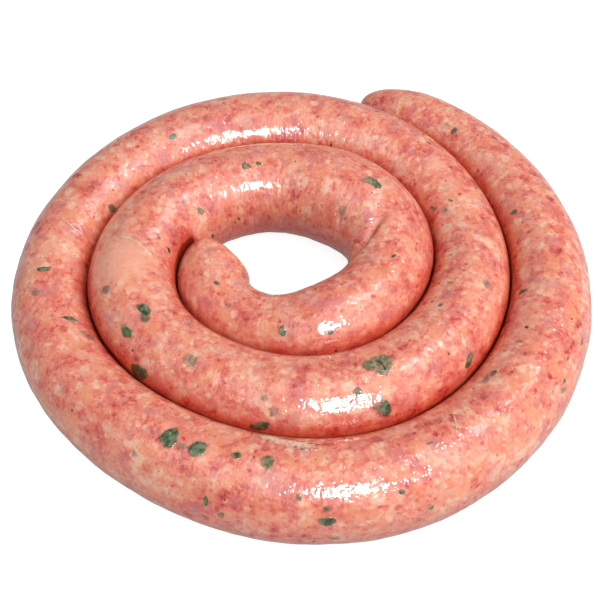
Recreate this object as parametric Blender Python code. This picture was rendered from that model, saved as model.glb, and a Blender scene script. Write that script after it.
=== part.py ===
"""Coiled fresh sausage: one long sausage in a natural casing, wound flat.

The sausage is one soft piece. It starts at a blunt inner tip beside an open
middle, runs anticlockwise for about two and three quarter turns and ends at a
tapered outer tip. Each turn lies against the turn inside it, so a turn's
radius follows from the radii and thicknesses before it. The coil rests on the
floor with its middle over the origin.

Sizes are millimetres and angles are degrees, counted anticlockwise from +X
seen from above and growing all the way from the inner tip to the outer one.
"""

import math

import bmesh
import bpy
import numpy as np

NAME = "sausage_coil"
MM = 0.001

# Stations: the centre line and the thickness are set at each eighth of a turn.
STATIONS_PER_TURN = 8
STATION_STEP = 360.0 / STATIONS_PER_TURN
FIRST_STATION = 150.0

# Radius of the centre line at the stations of the first turn.
FIRST_TURN_RADII = (21.0, 36.0, 37.0, 36.0, 36.0, 37.0, 35.0, 40.0)

# Half the thickness at every station: the casing is stuffed unevenly.
HALF_THICKNESS = (
    13.0, 15.0, 14.5, 17.5, 17.5, 18.5, 20.5, 19.5,
    19.5, 18.0, 17.0, 18.0, 17.0, 15.5, 17.5, 18.5,
    17.5, 15.5, 17.0, 18.0, 17.0, 15.5, 14.0, 13.0,
)

# Tips: where they lie, how long the rounding is, and how blunt.
INNER_TIP, INNER_DOME, INNER_BLUNTNESS = 173.0, 15.0, 2.1
OUTER_TIP, OUTER_DOME, OUTER_BLUNTNESS = 1154.0, 36.0, 2.1

# Soft contact: with the next turn, and with what the coil lies on.
PRESS = 1.0  # thickness lost where two turns press on each other
SEAM_GAP = 0.35  # kept open between two turns
SEAM_SOFTNESS = 0.9  # how gently a side flattens towards the seam
SAG = 0.05  # share of the half thickness by which the belly is flattened

# Fold: the casing pinches on the inside of the tightest bend.
FOLD_ANGLE = 374.0  # where it runs out on top
FOLD_SLANT = 0.5  # degrees along the coil for each degree down the side
FOLD_DEPTH, FOLD_WIDTH = 2.5, 6.0
FOLD_OVER_TOP = 0.2  # share of its depth left on top

# Mesh fineness.
RING_STEP = 6.0
DOME_RINGS = 8
SIDES = 24


def smooth_curve(values):
    """Return a function for the natural cubic spline through the stations."""
    values = np.asarray(values, float)
    count = len(values)
    system = np.eye(count)
    bend = np.zeros(count)
    for i in range(1, count - 1):
        system[i, i - 1:i + 2] = 1.0, 4.0, 1.0
        bend[i] = 6.0 * (values[i - 1] - 2.0 * values[i] + values[i + 1])
    bend = np.linalg.solve(system, bend)

    def at(angle):
        place = (np.asarray(angle, float) - FIRST_STATION) / STATION_STEP
        i = np.clip(np.floor(place).astype(int), 0, count - 2)
        t = place - i
        s = 1.0 - t
        straight = values[i] * s + values[i + 1] * t
        return straight + ((s**3 - s) * bend[i] + (t**3 - t) * bend[i + 1]) / 6.0

    return at


def wound_radii():
    """Return the centre line's radius at every station, each turn laid on the last."""
    radii = list(FIRST_TURN_RADII)
    for i in range(len(radii), len(HALF_THICKNESS)):
        inside = i - STATIONS_PER_TURN
        pitch = HALF_THICKNESS[inside] + HALF_THICKNESS[i] - PRESS
        radii.append(radii[inside] + pitch)
    return radii


radius_at = smooth_curve(wound_radii())
full_half_at = smooth_curve(HALF_THICKNESS)


def centre_line(angle):
    """Return the plan position of the centre line at these angles."""
    turned = np.radians(angle)
    radius = radius_at(angle)
    return np.stack([radius * np.cos(turned), radius * np.sin(turned)], axis=-1)


FINE_ANGLES = np.arange(INNER_TIP, OUTER_TIP + 0.25, 0.5)
FINE_LENGTHS = np.concatenate([
    [0.0],
    np.cumsum(np.linalg.norm(np.diff(centre_line(FINE_ANGLES), axis=0), axis=1)),
])
TOTAL_LENGTH = FINE_LENGTHS[-1]


def dome(share, bluntness):
    """Return the thickness share along a rounded tip, 0 at its end to 1 at its root."""
    share = np.clip(share, 0.0, 1.0)
    return (1.0 - (1.0 - share) ** bluntness) ** (1.0 / bluntness)


def half_at(angle):
    """Return half the thickness, rounded off at both tips and zero beyond them."""
    length = np.interp(angle, FINE_ANGLES, FINE_LENGTHS)
    inner = dome(length / INNER_DOME, INNER_BLUNTNESS)
    outer = dome((TOTAL_LENGTH - length) / OUTER_DOME, OUTER_BLUNTNESS)
    there = (angle >= INNER_TIP) & (angle <= OUTER_TIP)
    return np.where(there, full_half_at(angle) * inner * outer, 0.0)


def ring_angles():
    """Return the angle of each ring of the tube, closer together on the tips."""
    along = 1.0 - np.cos(np.linspace(0.0, math.pi / 2.0, DOME_RINGS + 1)[1:])
    middle = np.interp(
        np.arange(INNER_TIP, OUTER_TIP, RING_STEP), FINE_ANGLES, FINE_LENGTHS
    )
    inside = (middle > INNER_DOME) & (middle < TOTAL_LENGTH - OUTER_DOME)
    lengths = np.concatenate([
        INNER_DOME * along,
        middle[inside],
        TOTAL_LENGTH - OUTER_DOME * along[::-1],
    ])
    return np.interp(lengths, FINE_LENGTHS, FINE_ANGLES)


def tube(angles):
    """Return a mesh object swept along the coil, and the angle each vertex belongs to."""
    curve = bpy.data.curves.new(NAME + "_path", "CURVE")
    curve.dimensions = "3D"
    curve.twist_mode = "Z_UP"
    curve.bevel_depth = MM
    curve.bevel_resolution = (SIDES - 4) // 2
    curve.use_fill_caps = True
    spline = curve.splines.new("POLY")
    spline.points.add(len(angles) - 1)
    heights = full_half_at(angles) * (1.0 - SAG)
    for point, place, height, half in zip(
        spline.points, centre_line(angles), heights, half_at(angles)
    ):
        point.co = (place[0] * MM, place[1] * MM, height * MM, 1.0)
        point.radius = half
    path = bpy.data.objects.new(NAME + "_path", curve)
    bpy.context.scene.collection.objects.link(path)
    bpy.context.view_layer.update()
    graph = bpy.context.evaluated_depsgraph_get()
    mesh = bpy.data.meshes.new_from_object(path.evaluated_get(graph))
    mesh.name = NAME
    obj = bpy.data.objects.new(NAME, mesh)
    obj.matrix_world = path.matrix_world
    bpy.data.objects.remove(path)

    # The sides come ring by ring after the vertices of the two end caps.
    side_angles = np.repeat(angles, SIDES)
    places = positions_of(mesh)
    cap_count = len(places) - len(side_angles)
    near_inner, near_outer = (
        np.linalg.norm(places[:cap_count, :2] - end, axis=1)
        for end in centre_line(angles[[0, -1]])
    )
    cap_angles = np.where(near_inner < near_outer, angles[0], angles[-1])
    return obj, np.concatenate([cap_angles, side_angles])


def positions_of(mesh):
    """Return the mesh's vertices in millimetres."""
    flat = np.empty(len(mesh.vertices) * 3)
    mesh.vertices.foreach_get("co", flat)
    return flat.reshape(-1, 3) / MM


def soft_limit(room):
    """Return how much of the room to a wall is left once the side is pushed off it."""
    soft = SEAM_SOFTNESS
    eased = (room + soft) ** 2 / (4.0 * soft)
    return np.where(room >= soft, room, np.where(room <= -soft, 0.0, eased))


def seam_radius(angle):
    """Return the radius of the seam between the turn at this angle and the next one."""
    outer_side = radius_at(angle) + half_at(angle)
    next_inner_side = radius_at(angle + 360.0) - half_at(angle + 360.0)
    return (outer_side + next_inner_side) / 2.0


def press_together(places, angles):
    """Flatten the sides where turns touch, and the belly on the floor."""
    swing = np.degrees(np.arctan2(places[:, 1], places[:, 0]))
    swing += 360.0 * np.round((angles - swing) / 360.0)
    radius = np.hypot(places[:, 0], places[:, 1])

    room = seam_radius(swing) - SEAM_GAP / 2.0 - radius
    has_next = swing + 360.0 <= OUTER_TIP
    pressed = np.where(has_next, radius + room - soft_limit(room), radius)

    room = radius - seam_radius(swing - 360.0) - SEAM_GAP / 2.0
    has_previous = swing - 360.0 >= INNER_TIP
    pressed += np.where(has_previous, soft_limit(room) - room, 0.0)

    places[:, :2] *= (pressed / radius)[:, None]
    places[:, 2] = np.maximum(places[:, 2], 0.0)


def pinch(places, angles):
    """Sink the slanting fold into the inner side of the tight bend."""
    centres = np.column_stack([
        centre_line(angles), full_half_at(angles) * (1.0 - SAG)
    ])
    outward = centres[:, :2] / np.linalg.norm(centres[:, :2], axis=1)[:, None]
    spokes = places - centres
    reach = np.maximum(np.linalg.norm(spokes, axis=1), 1e-6)
    out = (spokes[:, :2] * outward).sum(axis=1)
    section = np.degrees(np.arctan2(np.abs(spokes[:, 2]), out))
    fold_angle = FOLD_ANGLE - FOLD_SLANT * (section - 90.0)
    along = np.radians(angles - fold_angle) * np.hypot(places[:, 0], places[:, 1])
    inner_side = np.clip(FOLD_OVER_TOP - out / reach, 0.0, 1.0)
    depth = FOLD_DEPTH * inner_side * np.exp(-((along / FOLD_WIDTH) ** 2))
    places -= spokes * (depth / reach)[:, None]


def casing_material():
    """Return the moist pink casing."""
    material = bpy.data.materials.new("casing")
    material.use_nodes = True
    shader = material.node_tree.nodes["Principled BSDF"]
    shader.inputs["Base Color"].default_value = (0.70, 0.23, 0.16, 1.0)
    shader.inputs["Roughness"].default_value = 0.35
    shader.inputs["Metallic"].default_value = 0.0
    return material


def build():
    """Model the coil and place its middle over the origin, resting on the floor."""
    angles = ring_angles()
    obj, vertex_angles = tube(angles)
    places = positions_of(obj.data)
    pinch(places, vertex_angles)
    press_together(places, vertex_angles)
    low, high = places.min(axis=0), places.max(axis=0)
    places -= [(low[0] + high[0]) / 2.0, (low[1] + high[1]) / 2.0, low[2]]
    obj.data.vertices.foreach_set("co", (places * MM).ravel())

    work = bmesh.new()
    work.from_mesh(obj.data)
    bmesh.ops.remove_doubles(work, verts=work.verts, dist=0.01 * MM)
    bmesh.ops.recalc_face_normals(work, faces=work.faces)
    work.to_mesh(obj.data)
    work.free()
    obj.data.shade_smooth()
    obj.data.materials.clear()
    obj.data.materials.append(casing_material())

    collection = bpy.data.collections.new(NAME)
    bpy.context.scene.collection.children.link(collection)
    collection.objects.link(obj)


for old in list(bpy.data.objects):
    bpy.data.objects.remove(old)
build()
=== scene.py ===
"""Looks of the coiled fresh sausage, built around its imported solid.

The solid gives the size and the place. Here a fine casing is rolled by the same
rule, herb flakes and threads of tissue are laid on it, and the studio is set up
round it.

Lengths are millimetres and angles degrees until a mesh is written, in metres.
Everything on the casing is first laid out flat, on the unrolled casing: the length
along the sausage, the section angle round it, and the lift off its surface. The
coil angle counts anticlockwise from +X seen from above and grows from the inner
tip to the outer one. The section angle is 0 on the side away from the coil's
middle, 90 on top, 180 on the side towards the middle and -90 underneath.
"""

import logging
import math
from collections.abc import Callable
from dataclasses import dataclass, field
from enum import Enum
from functools import cached_property

import bmesh
import bpy
import numpy as np
from mathutils import Matrix, Vector, noise


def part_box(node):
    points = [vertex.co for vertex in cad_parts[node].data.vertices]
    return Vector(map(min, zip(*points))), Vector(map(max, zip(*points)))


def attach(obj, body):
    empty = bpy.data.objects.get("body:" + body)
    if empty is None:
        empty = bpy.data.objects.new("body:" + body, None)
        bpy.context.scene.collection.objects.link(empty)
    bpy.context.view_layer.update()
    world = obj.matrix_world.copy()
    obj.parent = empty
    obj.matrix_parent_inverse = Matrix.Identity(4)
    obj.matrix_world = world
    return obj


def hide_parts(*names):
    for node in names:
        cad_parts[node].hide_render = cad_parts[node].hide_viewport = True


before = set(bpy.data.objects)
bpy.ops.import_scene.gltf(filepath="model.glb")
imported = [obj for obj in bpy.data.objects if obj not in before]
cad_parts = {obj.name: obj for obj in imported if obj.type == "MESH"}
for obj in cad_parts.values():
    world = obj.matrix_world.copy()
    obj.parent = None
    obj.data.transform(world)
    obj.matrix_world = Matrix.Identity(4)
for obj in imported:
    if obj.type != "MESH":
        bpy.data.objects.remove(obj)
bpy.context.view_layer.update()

MM = 0.001
NODE = "sausage_coil"
BODY = "root"
STRAIGHT = "straight"
BAKE_MAP = "OFBake"
WHITE = (1.0, 1.0, 1.0, 1.0)
BELLY = -90.0
VECTOR, VALUE, COLOUR = "NodeSocketVector", "NodeSocketFloat", "NodeSocketColor"
MIX_UNDER, MIX_OVER, MIX_RESULT = 6, 7, 2  # a Mix node's sockets for colours

log = logging.getLogger("sausage")

Colour = tuple[float, float, float]
Socket = bpy.types.NodeSocket


def paint(red: int, green: int, blue: int) -> Colour:
    """Return a scene-linear colour for a display colour of 0 to 255.

    Args:
        red: The display value of red.
        green: The display value of green.
        blue: The display value of blue.

    Returns:
        The same colour as linear red, green and blue.
    """
    shares = (np.array([red, green, blue]) / 255.0).clip(0.0, 1.0)
    linear = np.where(shares <= 0.04045, shares / 12.92, ((shares + 0.055) / 1.055) ** 2.4)
    return tuple(float(value) for value in linear)


# --------------------------------------------------------------------------
# The coil's rule
# --------------------------------------------------------------------------


@dataclass(frozen=True)
class Winding:
    """The rule that the sausage is wound by.

    It has the solid's own named values, but the seams are closed, the inner tip is blunter
    and leans out against the turn beside it, and the fold is deeper and runs along a bent
    line of its own.
    """

    station_step: float = 45.0
    first_station: float = 150.0
    first_turn_radii: tuple[float, ...] = (21.0, 36.0, 37.0, 36.0, 36.0, 37.0, 35.0, 40.0)
    half_thickness: tuple[float, ...] = (
        13.0, 15.0, 14.5, 17.5, 17.5, 18.5, 20.5, 19.5,
        19.5, 18.0, 17.0, 18.0, 17.0, 15.5, 17.5, 18.5,
        17.5, 15.5, 17.0, 18.0, 17.0, 15.5, 14.0, 13.0,
    )
    inner_tip: float = 173.0
    inner_dome: float = 12.0
    outer_tip: float = 1154.0
    outer_dome: float = 36.0
    inner_bluntness: float = 2.8
    inner_tuck: float = 0.75
    outer_bluntness: float = 2.1
    press: float = 1.0
    seam_gap: float = -0.15
    seam_softness: float = 0.9
    sag: float = 0.05
    fold_sections: tuple[float, ...] = (60.0, 90.0, 100.0, 110.0, 120.0, 130.0, 142.0, 165.0)
    fold_angles: tuple[float, ...] = (379.0, 374.5, 372.0, 366.5, 360.0, 352.5, 344.5, 332.0)
    fold_depth: float = 4.0
    fold_near_width: float = 2.2
    fold_far_width: float = 7.0
    fold_over_top: float = 0.2
    fold_lip: float = 0.8
    fold_shade_reach: float = 4.2
    fold_shade_gain: float = 1.6
    touch_from: float = 0.55
    touch_fade: float = 0.3
    table_step: float = 0.5
    aim_step: float = 0.25

    def smooth_curve(self, values: tuple[float, ...]) -> Callable[[np.ndarray], np.ndarray]:
        """Return the natural cubic spline through the stations.

        Args:
            values: One value for each station.

        Returns:
            A function of the coil angle.
        """
        knots = np.asarray(values, float)
        count = len(knots)
        system = np.eye(count)
        bend = np.zeros(count)
        for i in range(1, count - 1):
            system[i, i - 1:i + 2] = 1.0, 4.0, 1.0
            bend[i] = 6.0 * (knots[i - 1] - 2.0 * knots[i] + knots[i + 1])
        bend = np.linalg.solve(system, bend)

        def at(angle: np.ndarray) -> np.ndarray:
            """Read the spline.

            Args:
                angle: Coil angles.

            Returns:
                The spline's value at each.
            """
            place = (np.asarray(angle, float) - self.first_station) / self.station_step
            i = np.clip(np.floor(place).astype(int), 0, count - 2)
            t = place - i
            s = 1.0 - t
            straight = knots[i] * s + knots[i + 1] * t
            return straight + ((s**3 - s) * bend[i] + (t**3 - t) * bend[i + 1]) / 6.0

        return at

    @cached_property
    def radius_at(self) -> Callable[[np.ndarray], np.ndarray]:
        """The centre line's radius, each turn laid against the last.

        Returns:
            A function of the coil angle.
        """
        radii = list(self.first_turn_radii)
        per_turn = len(radii)
        for i in range(per_turn, len(self.half_thickness)):
            pitch = self.half_thickness[i - per_turn] + self.half_thickness[i] - self.press
            radii.append(radii[i - per_turn] + pitch)
        return self.smooth_curve(tuple(radii))

    @cached_property
    def full_half_at(self) -> Callable[[np.ndarray], np.ndarray]:
        """Half the thickness by coil angle, before the tips are rounded off."""
        return self.smooth_curve(self.half_thickness)

    @cached_property
    def table(self) -> tuple[np.ndarray, np.ndarray]:
        """The length along the sausage, measured in small steps.

        Returns:
            The coil angle at each step, and the length there.
        """
        angles = np.arange(self.inner_tip, self.outer_tip + self.table_step / 2.0, self.table_step)
        steps = np.linalg.norm(np.diff(self.centre_line(angles), axis=0), axis=1)
        return angles, np.concatenate([[0.0], np.cumsum(steps)])

    @property
    def total_length(self) -> float:
        """The length of the whole sausage along its centre line."""
        return float(self.table[1][-1])

    def centre_line(self, angle: np.ndarray) -> np.ndarray:
        """Return the plan position of the centre line at these coil angles."""
        turned = np.radians(angle)
        return self.radius_at(angle)[:, None] * np.column_stack([np.cos(turned), np.sin(turned)])

    def outward(self, angle: np.ndarray) -> np.ndarray:
        """Return the level unit vector square to the centre line, away from the middle.

        Args:
            angle: Coil angles.

        Returns:
            One row for each angle.
        """
        along = self.centre_line(angle + self.aim_step) - self.centre_line(angle - self.aim_step)
        square = np.column_stack([along[:, 1], -along[:, 0]])
        return square / np.linalg.norm(square, axis=1)[:, None]

    def angle_at(self, length: np.ndarray) -> np.ndarray:
        """Return the coil angle at these lengths along the sausage."""
        angles, lengths = self.table
        return np.interp(length, lengths, angles)

    def length_at(self, angle: np.ndarray) -> np.ndarray:
        """Return the length along the sausage at these coil angles."""
        angles, lengths = self.table
        return np.interp(angle, angles, lengths)

    def half_at(self, angle: np.ndarray) -> np.ndarray:
        """Return half the thickness, rounded off at both tips and zero beyond them.

        Args:
            angle: Coil angles.

        Returns:
            Half the thickness at each angle.
        """
        length = self.length_at(angle)

        def dome(share: np.ndarray, bluntness: float) -> np.ndarray:
            """Return the share of the thickness along a rounded tip."""
            left = 1.0 - np.clip(share, 0.0, 1.0)
            return (1.0 - left**bluntness) ** (1.0 / bluntness)

        ends = dome(length / self.inner_dome, self.inner_bluntness)
        ends *= dome((self.total_length - length) / self.outer_dome, self.outer_bluntness)
        there = (angle >= self.inner_tip) & (angle <= self.outer_tip)
        return np.where(there, self.full_half_at(angle) * ends, 0.0)

    def tucked(self, angle: np.ndarray) -> np.ndarray:
        """Return how far the rounded inner tip leans out against the turn beside it."""
        lost = self.full_half_at(angle) - self.half_at(angle)
        return np.where(angle < self.inner_tip + self.station_step, self.inner_tuck * lost, 0.0)

    def soft_limit(self, room: np.ndarray) -> np.ndarray:
        """Return how much of the room to a wall is left once the side is pushed off it.

        Args:
            room: The room before that, below 0 where the side is past the wall.

        Returns:
            The room after it, never below 0.
        """
        soft = self.seam_softness
        eased = (room + soft) ** 2 / (4.0 * soft)
        return np.where(room >= soft, room, np.where(room <= -soft, 0.0, eased))

    def facing_sides(self, angle: np.ndarray) -> tuple[np.ndarray, np.ndarray]:
        """Return the radius of a turn's outer side, and of the next turn's inner side."""
        outer_side = self.radius_at(angle) + self.half_at(angle) + self.tucked(angle)
        return outer_side, self.radius_at(angle + 360.0) - self.half_at(angle + 360.0)

    def seam_radius(self, angle: np.ndarray) -> np.ndarray:
        """Return the radius of the seam between a turn at these coil angles and the next one."""
        outer_side, next_side = self.facing_sides(angle)
        return (outer_side + next_side) / 2.0

    def parted(self, angle: np.ndarray) -> np.ndarray:
        """Return how far a turn at these coil angles and the next one stand apart."""
        outer_side, next_side = self.facing_sides(angle)
        return np.maximum(next_side - outer_side, 0.0)

    def swing_and_radius(self, places: np.ndarray, angles: np.ndarray) -> tuple[np.ndarray, np.ndarray]:
        """Measure how places lie about the coil's own centre.

        Args:
            places: Positions in millimetres about the coil's own centre.
            angles: The coil angle that each of them belongs to.

        Returns:
            The coil angle that each lies at, and its distance from the centre.
        """
        swing = np.degrees(np.arctan2(places[:, 1], places[:, 0]))
        swing += 360.0 * np.round((angles - swing) / 360.0)
        return swing, np.hypot(places[:, 0], places[:, 1])

    def press_together(self, places: np.ndarray, angles: np.ndarray) -> None:
        """Flatten the sides where turns touch, and the belly on the floor.

        Args:
            places: Positions in millimetres about the coil's own centre, changed in place.
            angles: The coil angle that each of them belongs to.
        """
        swing, radius = self.swing_and_radius(places, angles)
        room = self.seam_radius(swing) - self.seam_gap / 2.0 - radius
        has_next = swing + 360.0 <= self.outer_tip
        pressed = np.where(has_next, radius + room - self.soft_limit(room), radius)
        room = radius - self.seam_radius(swing - 360.0) - self.seam_gap / 2.0
        has_previous = swing - 360.0 >= self.inner_tip
        pressed += np.where(has_previous, self.soft_limit(room) - room, 0.0)
        places[:, :2] *= (pressed / radius)[:, None]
        places[:, 2] = np.maximum(places[:, 2], 0.0)

    def room_beside(self, places: np.ndarray, angles: np.ndarray) -> np.ndarray:
        """Return the room between a place on the casing and the nearest turn beside it.

        Args:
            places: Positions in millimetres about the coil's own centre.
            angles: The coil angle that each of them belongs to.

        Returns:
            The level distance to the nearer seam with the gap there added, or infinity where
            there is no turn.
        """
        swing, radius = self.swing_and_radius(places, angles)
        outside = self.seam_radius(swing) - radius + self.parted(swing)
        inside = radius - self.seam_radius(swing - 360.0) + self.parted(swing - 360.0)
        outside = np.where(swing + 360.0 <= self.outer_tip, outside, np.inf)
        inside = np.where(swing - 360.0 >= self.inner_tip, inside, np.inf)
        return np.maximum(np.minimum(outside, inside), 0.0)

    def touching(self, angles: np.ndarray, sections: np.ndarray) -> np.ndarray:
        """Return where a side lies against the next or the last turn.

        Args:
            angles: Coil angles.
            sections: The section angle that goes with each.

        Returns:
            1 on the touching sides, falling to 0 off them.
        """
        facing = np.cos(np.radians(sections))
        next_turn = np.where(angles + 360.0 <= self.outer_tip, facing, 0.0)
        last_turn = np.where(angles - 360.0 >= self.inner_tip, -facing, 0.0)
        return np.clip((np.maximum(next_turn, last_turn) - self.touch_from) / self.touch_fade, 0.0, 1.0)

    def pinch(self, angles: np.ndarray, sections: np.ndarray) -> np.ndarray:
        """Return how deep the slanting fold of the tight bend sinks.

        Args:
            angles: Coil angles.
            sections: The section angle that goes with each.

        Returns:
            The depth at each place.
        """
        along, inner_side = self.fold_place(angles, sections)
        width = np.where(along > 0.0, self.fold_far_width, self.fold_near_width)
        return self.fold_depth * inner_side * np.exp(-((along / width) ** 2))

    def fold_place(self, angles: np.ndarray, sections: np.ndarray) -> tuple[np.ndarray, np.ndarray]:
        """Return where places lie beside the fold.

        Args:
            angles: Coil angles.
            sections: The section angle that goes with each.

        Returns:
            How far past the fold's line each place lies, and the share of the fold's depth
            that is left on its side of the tube.
        """
        wrapped = np.abs((sections + 180.0) % 360.0 - 180.0)
        fold_angle = np.interp(wrapped, self.fold_sections, self.fold_angles)
        along = np.radians(angles - fold_angle) * self.radius_at(angles)
        inner_side = np.clip(self.fold_over_top - np.cos(np.radians(sections)), 0.0, 1.0)
        return along, inner_side

    def fold_shade(self, angles: np.ndarray, sections: np.ndarray) -> np.ndarray:
        """Return how much the fold's near lip shades places.

        Args:
            angles: Coil angles.
            sections: The section angle that goes with each.

        Returns:
            The shade at each place, up to 1 at the lip.
        """
        along, inner_side = self.fold_place(angles, sections)
        past_lip = along + self.fold_lip
        width = np.where(past_lip > 0.0, self.fold_shade_reach, self.fold_lip)
        return np.clip(self.fold_shade_gain * inner_side, 0.0, 1.0) * np.exp(-((past_lip / width) ** 2))


@dataclass(frozen=True)
class Relief:
    """How uneven the filling makes the casing: it only sinks below the true tube."""

    inset: float = 0.12
    swell: float = 0.34
    swell_size: float = 17.0
    lumps: float = 0.20
    lump_size: float = 5.2
    grains: float = 0.07
    grain_size: float = 2.3
    shifts: tuple[float, float, float] = (3.0, 11.0, 29.0)
    contrast: float = 1.6
    full_from: float = 12.0

    def depth(self, straight: np.ndarray) -> np.ndarray:
        """Return how far the casing sinks below the true tube.

        Args:
            straight: Places in the straightened sausage.

        Returns:
            The depth at each place, before it eases off towards the tips.
        """
        depth = np.full(len(straight), self.inset)
        kinds = (self.swell_size, self.swell), (self.lump_size, self.lumps), (self.grain_size, self.grains)
        for (size, reach), shift in zip(kinds, self.shifts):
            points = straight / size + shift
            waves = np.array([noise.noise(Vector(point)) for point in points.tolist()])
            depth += reach * (0.5 - 0.5 * np.clip(waves * self.contrast, -1.0, 1.0))
        return depth


@dataclass
class Roller:
    """Rolls what is laid out on the unrolled casing into its place in the coil.

    The box is the solid's, in metres. The middle says where the coil's own centre lies, in
    millimetres.
    """

    winding: Winding
    relief: Relief
    box: tuple[np.ndarray, np.ndarray]
    trial_rings: int = 400
    trial_sides: int = 24
    middle: np.ndarray = field(default_factory=lambda: np.zeros(2))

    def centre(self) -> None:
        """Roll a coarse tube, and shift the coil by as much as that lies off the solid's middle."""
        rings = np.linspace(0.0, self.winding.total_length, self.trial_rings)
        sections = np.arange(self.trial_sides) * (360.0 / self.trial_sides)
        rolled = self.roll(np.column_stack([
            np.repeat(rings, self.trial_sides),
            np.tile(sections, self.trial_rings),
            np.zeros(self.trial_rings * self.trial_sides),
        ]))
        low, high = self.box
        self.middle = (low + high)[:2] / 2.0 / MM - (rolled.min(0) + rolled.max(0))[:2] / 2.0

    def straight(self, laid: np.ndarray) -> np.ndarray:
        """Return where laid out points lie in the straightened sausage.

        Args:
            laid: The length, section angle and lift of each point.

        Returns:
            Their length, and how far outward and up they lie from the centre line.
        """
        half = self.winding.half_at(self.winding.angle_at(laid[:, 0]))
        turned = np.radians(laid[:, 1])
        return np.column_stack([laid[:, 0], half * np.cos(turned), half * np.sin(turned)])

    def roll(self, laid: np.ndarray) -> np.ndarray:
        """Return where laid out points come to lie in the coil.

        Args:
            laid: The length, section angle and lift of each point.

        Returns:
            Their positions in millimetres about the coil's own centre.
        """
        winding = self.winding
        angles = winding.angle_at(laid[:, 0])
        half = winding.half_at(angles)
        free = 1.0 - winding.touching(angles, laid[:, 1])
        sunk = self.relief.depth(self.straight(laid)) * free + winding.pinch(angles, laid[:, 1])
        spoke = half - sunk * np.clip(half / self.relief.full_from, 0.0, 1.0) + laid[:, 2]
        spoke = np.maximum(spoke, 0.0)
        turned = np.radians(laid[:, 1])
        level = (spoke * np.cos(turned) + winding.tucked(angles))[:, None] * winding.outward(angles)
        height = winding.full_half_at(angles) * (1.0 - winding.sag) + spoke * np.sin(turned)
        places = np.column_stack([winding.centre_line(angles) + level, height])
        winding.press_together(places, angles)
        return places

    def settle(self, work: bmesh.types.BMesh) -> None:
        """Roll a laid out bmesh into place inside the solid's box, in metres.

        Args:
            work: The mesh whose vertices hold length, section angle and lift. Each of them
                keeps its place in the straightened sausage.
        """
        laid = np.array([vertex.co for vertex in work.verts])
        places = self.roll(laid)
        places[:, :2] += self.middle
        places = np.clip(places * MM, *self.box)
        straight = self.straight(laid)
        layer = work.verts.layers.float_vector.new(STRAIGHT)
        for vertex, place, meat in zip(work.verts, places.tolist(), straight.tolist()):
            vertex.co = place
            vertex[layer] = meat


def finished(work: bmesh.types.BMesh, name: str) -> bpy.types.Object:
    """Write a bmesh to a new smooth object at the origin, and free it.

    Args:
        work: The finished mesh, in metres.
        name: The piece's name.

    Returns:
        The new object, linked to the scene.
    """
    mesh = bpy.data.meshes.new(name)
    work.to_mesh(mesh)
    work.free()
    mesh.shade_smooth()
    piece = bpy.data.objects.new(name, mesh)
    bpy.context.scene.collection.objects.link(piece)
    return piece


# --------------------------------------------------------------------------
# Shader graphs
# --------------------------------------------------------------------------


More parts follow.
